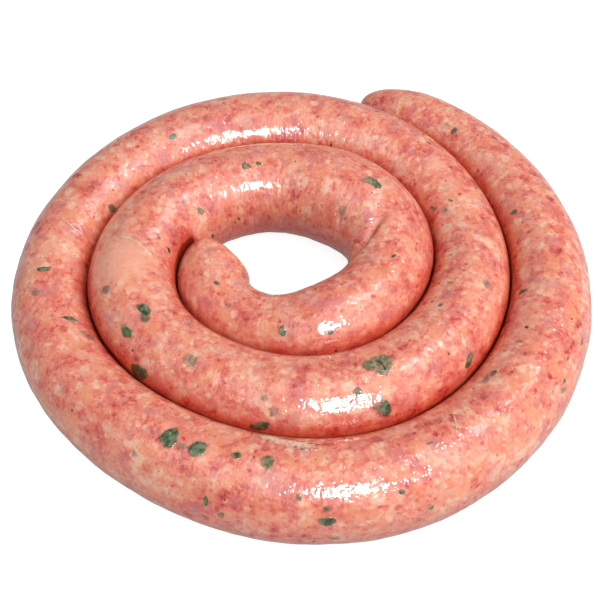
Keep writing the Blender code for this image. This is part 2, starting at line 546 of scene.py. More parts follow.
class Graph:
    """Short ways to add nodes to a material or to a node group."""

    def __init__(self, tree: bpy.types.NodeTree) -> None:
        """Keep the tree that nodes are added to."""
        self.tree = tree

    def node(self, kind: str, inputs: dict[str | int, object], **settings: object) -> bpy.types.Node:
        """Add a node, set its options and fill its inputs.

        Args:
            kind: The node's type name.
            inputs: A value or another node's socket for each named or numbered input.
            **settings: The node's own options.

        Returns:
            The new node.
        """
        made = self.tree.nodes.new(kind)
        for name, value in settings.items():
            setattr(made, name, value)
        for name, value in inputs.items():
            if isinstance(value, Socket):
                self.tree.links.new(value, made.inputs[name])
            else:
                made.inputs[name].default_value = value
        return made

    def group(self, tree: bpy.types.NodeTree, inputs: dict[str, Socket]) -> bpy.types.Node:
        """Add a node that runs a group.

        Args:
            tree: The group's tree.
            inputs: The socket for each named input.

        Returns:
            The new node.
        """
        made = self.tree.nodes.new("ShaderNodeGroup")
        made.node_tree = tree
        for name, socket in inputs.items():
            self.tree.links.new(socket, made.inputs[name])
        return made

    def sized(self, vector: Socket, size: tuple[float, float, float]) -> Socket:
        """Return the vector divided by a feature size along each direction."""
        inputs = {0: vector, 1: size}
        return self.node("ShaderNodeVectorMath", inputs, operation="DIVIDE").outputs[0]

    def moved(self, vector: Socket, by: tuple[float, ...]) -> Socket:
        """Return the vector shifted by a fixed step, for a pattern of its own."""
        return self.node("ShaderNodeVectorMath", {0: vector, 1: by}, operation="ADD").outputs[0]

    def wander(self, vector: Socket, size: float, reach: float) -> Socket:
        """Push a vector about, so that edges that follow it lose their evenness.

        Args:
            vector: The vector.
            size: How far apart the pushes change.
            reach: How far the vector is pushed at most.

        Returns:
            The pushed vector.
        """
        push = self.node("ShaderNodeTexNoise", {"Vector": vector, "Scale": 1.0 / size, "Detail": 1.0})
        inputs = {0: push.outputs["Color"], 1: (0.5, 0.5, 0.5)}
        centred = self.node("ShaderNodeVectorMath", inputs, operation="SUBTRACT")
        inputs = {0: centred.outputs[0], 1: (2.0 * reach,) * 3, 2: vector}
        return self.node("ShaderNodeVectorMath", inputs, operation="MULTIPLY_ADD").outputs[0]

    def clouds(self, vector: Socket, detail: float) -> Socket:
        """Return noise of 0 to 1 whose features are about one unit across."""
        inputs = {"Vector": vector, "Scale": 1.0, "Detail": detail}
        return self.node("ShaderNodeTexNoise", inputs).outputs["Fac"]

    def cells(self, vector: Socket, smooth: float = 0.0) -> tuple[Socket, Socket, Socket]:
        """Scatter points about a unit apart.

        Args:
            vector: The place.
            smooth: How smoothly one point's cell runs into the next.

        Returns:
            The distance to the nearest point, and two chance values of that point.
        """
        inputs = {"Vector": vector, "Scale": 1.0}
        feature = "F1"
        if smooth:
            inputs["Smoothness"] = smooth
            feature = "SMOOTH_F1"
        found = self.node("ShaderNodeTexVoronoi", inputs, feature=feature)
        chance = self.node("ShaderNodeSeparateColor", {0: found.outputs["Color"]})
        return found.outputs["Distance"], chance.outputs[0], chance.outputs[1]

    def ease(self, value: Socket, low: float | Socket, high: float | Socket, top: float = 1.0) -> Socket:
        """Ease a value in.

        Args:
            value: The value.
            low: Where the result is 0, which may be above high.
            high: Where the result is top.
            top: The greatest result.

        Returns:
            The eased value.
        """
        inputs = {"Value": value, "From Min": low, "From Max": high, "To Max": top}
        eased = self.node("ShaderNodeMapRange", inputs, interpolation_type="SMOOTHSTEP")
        return eased.outputs[0]

    def ramp(self, value: Socket, stops: tuple[tuple[float, Colour], ...]) -> Socket:
        """Pick a colour from a row of colours.

        Args:
            value: Where on the row to pick.
            stops: The place and the colour of each stop, in order.

        Returns:
            The colour.
        """
        made = self.node("ShaderNodeValToRGB", {0: value})
        band = made.color_ramp
        band.interpolation = "LINEAR"
        while len(band.elements) < len(stops):
            band.elements.new(1.0)
        for element, (place, colour) in zip(band.elements, stops):
            element.position = place
            element.color = (*colour, 1.0)
        return made.outputs["Color"]

    def spread(self, value: Socket, low: float, high: float) -> Socket:
        """Return 0 to 1 stretched over low to high in a straight line."""
        inputs = {"Value": value, "To Min": low, "To Max": high}
        return self.node("ShaderNodeMapRange", inputs).outputs[0]

    def times(self, first: Socket, second: Socket | float) -> Socket:
        """Return the product of two values."""
        return self.node("ShaderNodeMath", {0: first, 1: second}, operation="MULTIPLY").outputs[0]

    def plus(self, first: Socket, second: Socket | float) -> Socket:
        """Return the sum of two values."""
        return self.node("ShaderNodeMath", {0: first, 1: second}, operation="ADD").outputs[0]

    def minus(self, first: Socket | float, second: Socket | float) -> Socket:
        """Return the first value less the second."""
        return self.node("ShaderNodeMath", {0: first, 1: second}, operation="SUBTRACT").outputs[0]

    def tinted(self, share: Socket, colour: Socket, tint: Colour) -> Socket:
        """Multiply a colour by a tint.

        Args:
            share: How much the tint counts.
            colour: The colour.
            tint: The tint.

        Returns:
            The tinted colour.
        """
        inputs = {"Factor": share, MIX_UNDER: colour, MIX_OVER: (*tint, 1.0)}
        mix = self.node("ShaderNodeMix", inputs, data_type="RGBA", blend_type="MULTIPLY")
        return mix.outputs[MIX_RESULT]

    def line(self, vector: Socket, width: float) -> Socket:
        """Draw thin wandering lines about a unit apart.

        Args:
            vector: The place.
            width: How far the lines' edges reach, in the noise's own measure.

        Returns:
            1 on the lines, falling to 0 off them.
        """
        off = self.minus(self.clouds(vector, 0.0), 0.5)
        off = self.node("ShaderNodeMath", {0: off}, operation="ABSOLUTE").outputs[0]
        return self.ease(off, width, 0.0)

    def blend(self, share: Socket, under: Socket | Colour, over: Socket | Colour) -> Socket:
        """Lay one colour over another.

        Args:
            share: How much the upper colour covers.
            under: The lower colour.
            over: The upper colour.

        Returns:
            The blended colour.
        """
        mix = self.node("ShaderNodeMix", {"Factor": share}, data_type="RGBA")
        for name, value in ((MIX_UNDER, under), (MIX_OVER, over)):
            if isinstance(value, Socket):
                self.tree.links.new(value, mix.inputs[name])
            else:
                mix.inputs[name].default_value = (*value, 1.0)
        return mix.outputs[MIX_RESULT]


def new_group(name: str, takes: dict[str, str], gives: dict[str, str]) -> tuple[Graph, dict[str, Socket]]:
    """Start a shader node group with named sockets.

    Args:
        name: The group's name.
        takes: The kind of socket for each input's name.
        gives: The kind of socket for each output's name.

    Returns:
        The group's graph, and its input sockets by name.
    """
    tree = bpy.data.node_groups.new(name, "ShaderNodeTree")
    for label, kind in takes.items():
        tree.interface.new_socket(label, in_out="INPUT", socket_type=kind)
    for label, kind in gives.items():
        tree.interface.new_socket(label, in_out="OUTPUT", socket_type=kind)
    start = tree.nodes.new("NodeGroupInput")
    return Graph(tree), {label: start.outputs[label] for label in takes}


def end_group(graph: Graph, results: dict[str, Socket]) -> bpy.types.NodeTree:
    """Finish a shader node group.

    Args:
        graph: The group's graph.
        results: The socket for each output's name.

    Returns:
        The group's tree.
    """
    end = graph.tree.nodes.new("NodeGroupOutput")
    for label, socket in results.items():
        graph.tree.links.new(socket, end.inputs[label])
    return graph.tree


@dataclass(frozen=True)
class Cloud:
    """Soft noise in the filling: its grain along and round, its detail, and its shift."""

    along: float
    around: float
    detail: float = 0.0
    shift: tuple[float, float, float] = (0.0, 0.0, 0.0)

    def at(self, graph: Graph, place: Socket) -> Socket:
        """Draw the noise.

        Args:
            graph: The group's graph.
            place: The place in the filling.

        Returns:
            The noise, from 0 to 1.
        """
        if any(self.shift):
            place = graph.moved(place, self.shift)
        return graph.clouds(graph.sized(place, (self.along, self.around, self.around)), self.detail)


@dataclass(frozen=True)
class Fibres:
    """Thin wandering lines: how far apart along and round, their width, wander and shift."""

    along: float
    around: float
    width: float
    stir: tuple[float, float]
    shift: tuple[float, float, float] = (0.0, 0.0, 0.0)

    def at(self, graph: Graph, place: Socket) -> Socket:
        """Draw the lines.

        Args:
            graph: The group's graph.
            place: The place in the filling.

        Returns:
            1 on the lines, falling to 0 off them.
        """
        place = graph.wander(place, *self.stir)
        if any(self.shift):
            place = graph.moved(place, self.shift)
        return graph.line(graph.sized(place, (self.along, self.around, self.around)), self.width)


@dataclass(frozen=True)
class Dots:
    """Small round dots: how far apart, their edge, which of them show and how strongly."""

    apart: float
    edge: tuple[float, float]
    chosen: tuple[float, float]
    share: float

    def at(self, graph: Graph, place: Socket) -> Socket:
        """Draw the dots.

        Args:
            graph: The group's graph.
            place: The place in the filling.

        Returns:
            How much they cover.
        """
        far, kind, _ = graph.cells(graph.sized(place, (self.apart,) * 3))
        dot = graph.times(graph.ease(far, *self.edge), graph.ease(kind, *self.chosen))
        return graph.times(dot, self.share)


@dataclass(frozen=True)
class Blobs:
    """Rounded pieces of one kind in the mince: how far apart, how large and how common."""

    apart: float
    least: float
    most: float
    common: float
    softness: float
    weight: float
    choice: float = 0.02

    def at(self, graph: Graph, place: Socket) -> Socket:
        """Mark where the pieces are.

        Args:
            graph: The group's graph.
            place: The place in the filling.

        Returns:
            1 inside the pieces, falling softly to 0 outside them.
        """
        far, kind, width = graph.cells(graph.sized(place, (self.apart,) * 3))
        depth = graph.minus(graph.spread(width, self.least, self.most), far)
        inside = graph.ease(depth, -self.softness, self.softness)
        rest = 1.0 - self.common
        return graph.times(inside, graph.ease(kind, rest, rest + self.choice))


@dataclass(frozen=True)
class WetSkin:
    """The wet casing's fine creases: one height shared by all that shines with it."""

    ripple: Cloud = Cloud(0.95, 1.6, 1.0)
    ripple_height: float = 2.2
    pucker: Cloud = Cloud(2.4, 3.0)
    pucker_height: float = 3.4
    grit: Cloud = Cloud(0.55, 0.55)
    grit_height: float = 0.45
    dry_patch: Cloud = Cloud(7.0, 9.0, 2.0)

    def group(self) -> bpy.types.NodeTree:
        """Build the group that turns a place on the sausage into a height and a dryness.

        Returns:
            The group's tree.
        """
        graph, takes = new_group("wet_skin", {"Meat": VECTOR}, {"Height": VALUE, "Dry": VALUE})
        meat = takes["Meat"]
        height = graph.times(self.ripple.at(graph, meat), self.ripple_height)
        height = graph.plus(height, graph.times(self.pucker.at(graph, meat), self.pucker_height))
        height = graph.plus(height, graph.times(self.grit.at(graph, meat), self.grit_height))
        return end_group(graph, {"Height": height, "Dry": self.dry_patch.at(graph, meat)})


@dataclass(frozen=True)
class Mince:
    """The filling seen through the casing: its colours and the sizes of its pieces."""

    # Shades by leanness, from the heart of the fat to the darkest lean.
    shades: tuple[tuple[float, Colour], ...] = (
        (0.08, paint(232, 184, 158)),
        (0.24, paint(231, 164, 138)),
        (0.40, paint(229, 147, 124)),
        (0.56, paint(224, 129, 109)),
        (0.72, paint(216, 110, 95)),
        (0.88, paint(202, 91, 81)),
        (1.0, paint(176, 64, 62)),
    )
    # Grain of each size, with its weight.
    grains: tuple[tuple[Cloud, float], ...] = (
        (Cloud(9.0, 10.0), 0.66),
        (Cloud(4.6, 5.2), 0.32),
        (Cloud(2.3, 2.7), 0.20),
        (Cloud(1.2, 1.4), 0.22),
        (Cloud(0.65, 0.75), 0.28),
    )
    grain_shift: tuple[float, float, float] = (17.0, 5.0, 29.0)
    # Torn chunks: their size, their weight and how smoothly they meet.
    chunks: tuple[tuple[float, float, float], ...] = (
        (3.4, 0.22, 0.8), (2.0, 0.24, 0.5), (1.2, 0.26, 0.35),
    )
    chunk_start: tuple[float, float, float] = (0.0, 7.0, 0.0)
    chunk_shift: tuple[float, float, float] = (31.0, 0.0, 3.0)
    pieces: tuple[Blobs, ...] = (
        Blobs(5.4, 0.16, 0.48, 0.40, 0.13, -0.30),
        Blobs(3.1, 0.16, 0.42, 0.32, 0.12, -0.22),
        Blobs(5.0, 0.20, 0.50, 0.36, 0.13, 0.28),
        Blobs(2.6, 0.16, 0.42, 0.28, 0.12, 0.20),
        Blobs(6.2, 0.12, 0.36, 0.40, 0.07, -0.30),
        Blobs(2.6, 0.14, 0.36, 0.14, 0.10, -0.34),
        Blobs(3.6, 0.10, 0.30, 0.18, 0.08, 0.34),
    )
    piece_start: tuple[float, float, float] = (7.0, 53.0, 2.0)
    piece_shift: tuple[float, float, float] = (11.0, 0.0, 19.0)
    stir: tuple[float, float] = (2.6, 0.7)
    # The pale patches' colour; on the fold's near lip it is also a painted highlight.
    patch: Colour = paint(238, 175, 147)
    patch_fray: Cloud = Cloud(1.6, 3.0, 2.0)
    patch_tear: float = 1.3
    patch_edge: tuple[float, float] = (0.25, 0.80)
    patch_calm: float = 0.35
    patch_share: float = 0.64
    tone: Cloud = Cloud(6.5, 7.0, 1.5, (41.0, 3.0, 8.0))
    mauve: Colour = paint(200, 114, 116)
    mauve_edge: tuple[float, float] = (0.52, 0.72)
    mauve_share: float = 0.58
    peach: Colour = paint(231, 152, 114)
    peach_edge: tuple[float, float] = (0.48, 0.28)
    peach_share: float = 0.66
    blood: Colour = paint(188, 62, 52)
    fleck: Cloud = Cloud(0.8, 1.1, 1.0)
    fleck_stir: tuple[float, float] = (2.0, 0.4)
    fleck_edge: tuple[float, float] = (0.62, 0.80)
    fleck_share: float = 0.42
    pricks: Dots = Dots(2.3, (0.22, 0.10), (0.52, 0.54), 0.65)
    pepper: Colour = paint(90, 28, 20)
    corns: Dots = Dots(7.5, (0.080, 0.045), (0.50, 0.51), 0.8)
    milk: Colour = paint(228, 170, 150)
    veil: Cloud = Cloud(9.0, 8.0, 1.0, (2.0, 8.0, 1.0))
    veil_edge: tuple[float, float] = (0.50, 0.74)
    streak: Cloud = Cloud(1.6, 2.6, 1.0)
    streak_stir: tuple[float, float] = (5.0, 1.2)
    streak_edge: tuple[float, float] = (0.35, 0.70)
    veil_share: float = 0.42
    veil_web: Fibres = Fibres(3.0, 5.5, 0.030, (3.0, 0.8))
    veil_web_share: float = 0.40
    web: Fibres = Fibres(2.0, 3.4, 0.035, (2.0, 0.5), (5.0, 1.0, 9.0))
    web_place: Cloud = Cloud(6.0, 6.0)
    web_edge: tuple[float, float] = (0.52, 0.66)
    web_share: float = 0.35

    def group(self) -> bpy.types.NodeTree:
        """Build the group that colours the filling at a place in the sausage.

        Returns:
            The group's tree.
        """
        graph, takes = new_group("mince", {"Meat": VECTOR, "MembraneAndHighlight": VALUE}, {"Color": COLOUR})
        meat = takes["Meat"]
        leanness = self.leanness(graph, meat)
        torn = graph.times(graph.minus(self.patch_fray.at(graph, meat), 0.5), self.patch_tear)
        cover = graph.ease(graph.plus(takes["MembraneAndHighlight"], torn), *self.patch_edge)
        calm = graph.minus(1.0, graph.times(cover, self.patch_calm))
        leanness = graph.plus(graph.times(graph.minus(leanness, 0.5), calm), 0.5)
        colour = graph.ramp(leanness, self.shades)
        tone = self.tone.at(graph, meat)
        colour = graph.blend(graph.ease(tone, *self.mauve_edge, self.mauve_share), colour, self.mauve)
        colour = graph.blend(graph.ease(tone, *self.peach_edge, self.peach_share), colour, self.peach)
        colour = self.flecks(graph, meat, colour)
        colour = graph.blend(graph.times(cover, self.patch_share), colour, self.patch)
        return end_group(graph, {"Color": self.veils(graph, meat, colour)})

    @staticmethod
    def shifted(
        number: int, shift: tuple[float, ...], start: tuple[float, ...] = (0.0, 0.0, 0.0)
    ) -> tuple[float, ...]:
        """Return the shift of one pattern of a row, which keeps it unlike the others."""
        return tuple(first + number * step for first, step in zip(start, shift))

    def leanness(self, graph: Graph, meat: Socket) -> Socket:
        """Work out how lean the filling is at a place.

        Args:
            graph: The group's graph.
            meat: The place in the straightened sausage.

        Returns:
            The leanness, from 0 for fat to 1 for dark lean.
        """
        loose = graph.wander(meat, *self.stir)
        total = 0.5
        for number, (size, weight, smooth) in enumerate(self.chunks):
            place = graph.moved(loose, self.shifted(number, self.chunk_shift, self.chunk_start))
            chance = graph.cells(graph.sized(place, (size,) * 3), smooth)[1]
            total = graph.plus(graph.times(graph.minus(chance, 0.5), weight), total)
        for number, (grain, weight) in enumerate(self.grains):
            place = graph.moved(meat, self.shifted(number, self.grain_shift))
            total = graph.plus(total, graph.times(graph.minus(grain.at(graph, place), 0.5), weight))
        for number, piece in enumerate(self.pieces):
            place = graph.moved(loose, self.shifted(number, self.piece_shift, self.piece_start))
            total = graph.plus(total, graph.times(piece.at(graph, place), piece.weight))
        return total

    def flecks(self, graph: Graph, meat: Socket, colour: Socket) -> Socket:
        """Lay red flecks and a little pepper over a colour.

        Args:
            graph: The group's graph.
            meat: The place in the straightened sausage.
            colour: The colour under them.

        Returns:
            The colour with them.
        """
        fleck = self.fleck.at(graph, graph.wander(meat, *self.fleck_stir))
        fleck = graph.ease(fleck, *self.fleck_edge, self.fleck_share)
        colour = graph.blend(fleck, colour, self.blood)
        colour = graph.blend(self.pricks.at(graph, meat), colour, self.blood)
        return graph.blend(self.corns.at(graph, meat), colour, self.pepper)

    def veils(self, graph: Graph, meat: Socket, colour: Socket) -> Socket:
        """Draw milky veils and fine pale fibres over a colour.

        Args:
            graph: The group's graph.
            meat: The place in the straightened sausage.
            colour: The colour under them.

        Returns:
            The colour with them.
        """
        veil = graph.ease(self.veil.at(graph, meat), *self.veil_edge)
        streak = self.streak.at(graph, graph.wander(meat, *self.streak_stir))
        streak = graph.ease(streak, *self.streak_edge)
        share = graph.times(graph.times(veil, streak), self.veil_share)
        colour = graph.blend(share, colour, self.milk)
        share = graph.times(graph.times(self.veil_web.at(graph, meat), veil), self.veil_web_share)
        colour = graph.blend(share, colour, self.milk)
        rare = graph.ease(self.web_place.at(graph, meat), *self.web_edge)
        share = graph.times(graph.times(self.web.at(graph, meat), rare), self.web_share)
        return graph.blend(share, colour, self.milk)


@dataclass(frozen=True)
class ShadePainter:
    """Painted shade: meat and herbs are coloured deeper and redder where little light reaches them."""

    # Painted shade: a red tint that grows towards the creases, and the darkest shade where two turns meet.
    tint: Colour = (0.80, 0.35, 0.27)
    tint_edge: tuple[float, float] = (0.0, 0.75)
    deepest_shade: Colour = paint(118, 28, 16)
    deepest_shade_edge: tuple[float, float] = (0.76, 1.0)

    def group(self) -> bpy.types.NodeTree:
        """Build the group that paints shade into a colour, deeper towards the creases.

        Returns:
            The group's tree.
        """
        graph, takes = new_group("shade_painter", {"Color": COLOUR, "Painted Shade": VALUE}, {"Color": COLOUR})
        painted_shade = takes["Painted Shade"]
        colour = graph.tinted(graph.ease(painted_shade, *self.tint_edge), takes["Color"], self.tint)
        colour = graph.blend(graph.ease(painted_shade, *self.deepest_shade_edge), colour, self.deepest_shade)
        return end_group(graph, {"Color": colour})


@dataclass(frozen=True)
class Leaf:
    """Chopped green leaf under the casing, hazier the deeper it lies."""

    dark: Colour = paint(48, 64, 42)
    light: Colour = paint(88, 110, 64)
    blotch: Cloud = Cloud(1.8, 1.8, 2.0)
    blotch_edge: tuple[float, float] = (0.34, 0.66)
    vein: Colour = paint(134, 154, 100)
    veins: Fibres = Fibres(2.2, 2.2, 0.05, (2.5, 0.6))
    vein_share: float = 0.20
    mist: Colour = paint(148, 164, 136)
    mist_cloud: Cloud = Cloud(2.2, 2.2, 1.0, (9.0, 1.0, 4.0))
    mist_edge: tuple[float, float] = (0.44, 0.74)
    mist_share: float = 0.78
    sunk_mist: float = 0.16
    haze: Colour = paint(152, 128, 112)
    haze_edge: tuple[float, float] = (0.2, 1.0)
    haze_share: float = 0.62
    fray: Cloud = Cloud(0.8, 0.8, 1.0)
    fray_reach: tuple[float, float] = (0.5, 1.3)
    pressed_edge: tuple[float, float] = (0.0, 0.62)
    pressed_cover: float = 0.93
    sunk_edge: tuple[float, float] = (0.05, 1.05)
    sunk_cover: float = 0.66
    thin_edge: tuple[float, float] = (0.30, 1.0)
    thinned: float = 0.30

    def group(self) -> bpy.types.NodeTree:
        """Build the group that colours a flake and says how much it covers.

        Returns:
            The group's tree.
        """
        graph, takes = new_group(
            "leaf", {"Meat": VECTOR, "Inside": VALUE, "Sunk": VALUE}, {"Color": COLOUR, "Cover": VALUE}
        )
        meat, inside, sunk = takes["Meat"], takes["Inside"], takes["Sunk"]
        blotch = graph.ease(self.blotch.at(graph, meat), *self.blotch_edge)
        colour = graph.blend(blotch, self.dark, self.light)
        vein = self.veins.at(graph, meat)
        colour = graph.blend(graph.times(vein, self.vein_share), colour, self.vein)
        cloud = self.mist_cloud.at(graph, meat)
        mist = graph.ease(graph.plus(cloud, graph.times(sunk, self.sunk_mist)), *self.mist_edge)
        colour = graph.blend(graph.times(mist, self.mist_share), colour, self.mist)
        haze = graph.ease(sunk, *self.haze_edge, self.haze_share)
        colour = graph.blend(haze, colour, self.haze)
        fray = graph.minus(self.fray.at(graph, meat), 0.5)
        edge = graph.plus(inside, graph.times(fray, graph.spread(sunk, *self.fray_reach)))
        crisp = graph.ease(edge, *self.pressed_edge, self.pressed_cover)
        soft = graph.ease(edge, *self.sunk_edge, self.sunk_cover)
        thin = graph.ease(mist, *self.thin_edge, self.thinned)
        cover = graph.plus(graph.times(crisp, graph.minus(1.0, sunk)), graph.times(soft, sunk))
        cover = graph.times(cover, graph.minus(1.0, thin))
        return end_group(graph, {"Color": colour, "Cover": cover})


@dataclass(frozen=True)
class Tissue:
    """Pale connective tissue and fat under the casing."""

    pale: Colour = paint(250, 206, 180)
    rosy: Colour = paint(240, 174, 148)
    tone: Cloud = Cloud(1.6, 1.6, 2.0)
    tone_edge: tuple[float, float] = (0.40, 0.66)
    fray: Cloud = Cloud(0.9, 1.2, 2.0)
    fray_reach: float = 1.4
    frayed_edge: tuple[float, float] = (0.05, 0.85)
    rim_edge: tuple[float, float] = (0.0, 0.45)

    def group(self) -> bpy.types.NodeTree:
        """Build the group that draws a strand over the colour of the filling under it.

        Returns:
            The group's tree.
        """
        graph, takes = new_group(
            "tissue", {"Under": COLOUR, "Meat": VECTOR, "Inside": VALUE, "Clear": VALUE}, {"Color": COLOUR}
        )
        meat, inside, clear = takes["Meat"], takes["Inside"], takes["Clear"]
        tone = graph.ease(self.tone.at(graph, meat), *self.tone_edge)
        colour = graph.blend(tone, self.pale, self.rosy)
        fray = graph.minus(self.fray.at(graph, meat), 0.5)
        edge = graph.plus(inside, graph.times(fray, self.fray_reach))
        cover = graph.times(graph.ease(edge, *self.frayed_edge), graph.ease(inside, *self.rim_edge))
        cover = graph.times(cover, clear)
        return end_group(graph, {"Color": graph.blend(cover, takes["Under"], colour)})


# --------------------------------------------------------------------------
# Pieces
# --------------------------------------------------------------------------


@dataclass(frozen=True)
class MembraneAndHighlight:
    """A pale patch under the casing: its place, size and strength. Most are tissue; the one on the fold's
    near lip is tissue and a painted highlight.
    """

    coil_angle: float
    section: float
    long: float
    wide: float
    strength: float


@dataclass
class Marks:
    """What lies under the casing, and the shade painted on it, at each point of a piece."""

    roller: Roller
    # Painted shade: how far it reaches from where turns meet, how it grows low on the sides, and how much
    # the fold adds.
    crease_shade_reach: float = 2.4
    shade_top: float = 1.45
    shade_fall: float = 1.1
    hole_wall_shade: float = 0.85
    hole_wall_shade_curve: float = 0.8
    lower_side_shade: float = 0.66
    lower_side_shade_curve: float = 1.3
    fold_shade_share: float = 0.66
    patch_bluntness: float = 1.5
    membranes: tuple[MembraneAndHighlight, ...] = (
        MembraneAndHighlight(552.5, 86.0, 13.0, 17.0, 0.9),
        # Pale tissue along the fold's near lip, which also stands in for a painted highlight on the lip.
        MembraneAndHighlight(368.5, 84.0, 2.6, 8.0, 0.55),
        MembraneAndHighlight(756.0, 92.0, 6.0, 6.0, 0.6),
        MembraneAndHighlight(899.0, 108.0, 7.0, 8.0, 0.45),
    )

    def store(self, mesh: bpy.types.Mesh) -> None:
        """Store the cover of the pale patches and the painted shade on each point.

        Args:
            mesh: The mesh of a piece that is rolled into the coil.
        """
        flat = np.empty(len(mesh.vertices) * 3, np.float32)
        mesh.attributes[STRAIGHT].data.foreach_get("vector", flat)
        straight = flat.reshape(-1, 3).astype(float)
        mesh.vertices.foreach_get("co", flat)
        places = flat.reshape(-1, 3).astype(float) / MM
        places[:, :2] -= self.roller.middle
        found = {"membrane_and_highlight": self.cover(straight), "painted_shade": self.painted_shade(straight, places)}
        for name, values in found.items():
            layer = mesh.attributes.new(name, "FLOAT", "POINT")
            layer.data.foreach_set("value", values.astype(np.float32))

    def cover(self, straight: np.ndarray) -> np.ndarray:
        """Return how much of the pale patches lies under the casing.

        Args:
            straight: Places in the straightened sausage.

        Returns:
            The cover at each place, from 0 to 1.
        """
        length, out, up = straight.T
        half = np.maximum(np.hypot(out, up), 1.0)
        section = np.degrees(np.arctan2(up, out))
        cover = np.zeros(len(length))
        for patch in self.membranes:
            along = (length - self.roller.winding.length_at(patch.coil_angle)) / patch.long
            turn = (section - patch.section + 180.0) % 360.0 - 180.0
            around = np.radians(turn) * half / patch.wide
            faded = np.exp(-(along**2 + around**2) ** self.patch_bluntness)
            cover = np.maximum(cover, patch.strength * faded)
        return cover

    def painted_shade(self, straight: np.ndarray, places: np.ndarray) -> np.ndarray:
        """Return how much shade is painted on places: most where two turns meet, and also low on the sides
        and beside the fold.

        Args:
            straight: The places in the straightened sausage.
            places: The same places in the coil, in millimetres about its own centre.

        Returns:
            The painted shade for each place, from 0 in the open to 1 where two turns meet.
        """
        winding = self.roller.winding
        angles = winding.angle_at(straight[:, 0])
        # Painted shade: darkest where two turns meet, darker low on the sides and most on the wall that
        # faces the coil's middle, and beside the fold's lip.
        painted_shade = np.exp(-winding.room_beside(places, angles) / self.crease_shade_reach)
        rise = places[:, 2] / winding.full_half_at(angles)
        low = np.clip((self.shade_top - rise) / self.shade_fall, 0.0, 1.0)
        facing_middle = (angles - 360.0 < winding.inner_tip) & (straight[:, 1] < 0.0)
        shaded = np.where(
            facing_middle,
            self.hole_wall_shade * low**self.hole_wall_shade_curve,
            self.lower_side_shade * low**self.lower_side_shade_curve,
        )
        painted_shade = np.maximum(painted_shade, shaded)
        sections = np.degrees(np.arctan2(straight[:, 2], straight[:, 1]))
        return np.maximum(painted_shade, self.fold_shade_share * winding.fold_shade(angles, sections))


@dataclass
class Finisher:
    """Puts the groups that all the pieces share together into their materials."""

    marks: Marks
    mince: bpy.types.NodeTree
    skin: bpy.types.NodeTree
    shade_painter: bpy.types.NodeTree
    subsurface: float = 0.35
    subsurface_radius: tuple[float, float, float] = (1.0, 0.40, 0.26)
    subsurface_reach: float = 1.3
    bump: float = 0.075
    roughness: tuple[float, float] = (0.015, 0.065)
    shine: float = 0.9

    def begin(self, piece: bpy.types.Object, name: str) -> tuple[Graph, bpy.types.Node]:
        """Give a piece a material, and say where it belongs.

        Args:
            piece: The piece.
            name: The material's name.

        Returns:
            The material's graph, and its shader.
        """
        self.marks.store(piece.data)
        material = bpy.data.materials.new(name)
        material.use_nodes = True
        piece.data.materials.append(material)
        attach(piece, BODY)
        return Graph(material.node_tree), material.node_tree.nodes["Principled BSDF"]

    def stored(self, graph: Graph, name: str, kind: str = "Fac") -> Socket:
        """Return a socket that reads what is stored on the piece's points."""
        return graph.node("ShaderNodeAttribute", {}, attribute_name=name).outputs[kind]

    def filling(self, graph: Graph) -> Socket:
        """Return the colour of the filling under the casing."""
        meat, membrane_and_highlight = self.stored(graph, STRAIGHT, "Vector"), self.stored(graph, "membrane_and_highlight")
        return graph.group(self.mince, {"Meat": meat, "MembraneAndHighlight": membrane_and_highlight}).outputs["Color"]

    def close(self, graph: Graph, shader: bpy.types.Node, colour: Socket) -> None:
        """Paint shade into a colour in the creases and low on the sides, and give the material the wet
        casing's shine.

        Args:
            graph: The material's graph.
            shader: Its shader.
            colour: The colour in full light.
        """
        links = graph.tree.links
        # Painted shade goes into the base colour here.
        shaded = graph.group(self.shade_painter, {"Color": colour, "Painted Shade": self.stored(graph, "painted_shade")})
        links.new(shaded.outputs["Color"], shader.inputs["Base Color"])
        surface = graph.group(self.skin, {"Meat": self.stored(graph, STRAIGHT, "Vector")})
        links.new(graph.spread(surface.outputs["Dry"], *self.roughness), shader.inputs["Roughness"])
        inputs = {"Strength": 1.0, "Distance": self.bump * MM, "Height": surface.outputs["Height"]}
        links.new(graph.node("ShaderNodeBump", inputs).outputs[0], shader.inputs["Normal"])
        shader.inputs["Specular IOR Level"].default_value = self.shine

    def soften(self, shader: bpy.types.Node) -> None:
        """Let light spread under the surface, as it does in meat.

        Args:
            shader: The material's shader.
        """
        shader.inputs["Subsurface Weight"].default_value = self.subsurface
        shader.inputs["Subsurface Radius"].default_value = self.subsurface_radius
        shader.inputs["Subsurface Scale"].default_value = self.subsurface_reach * MM


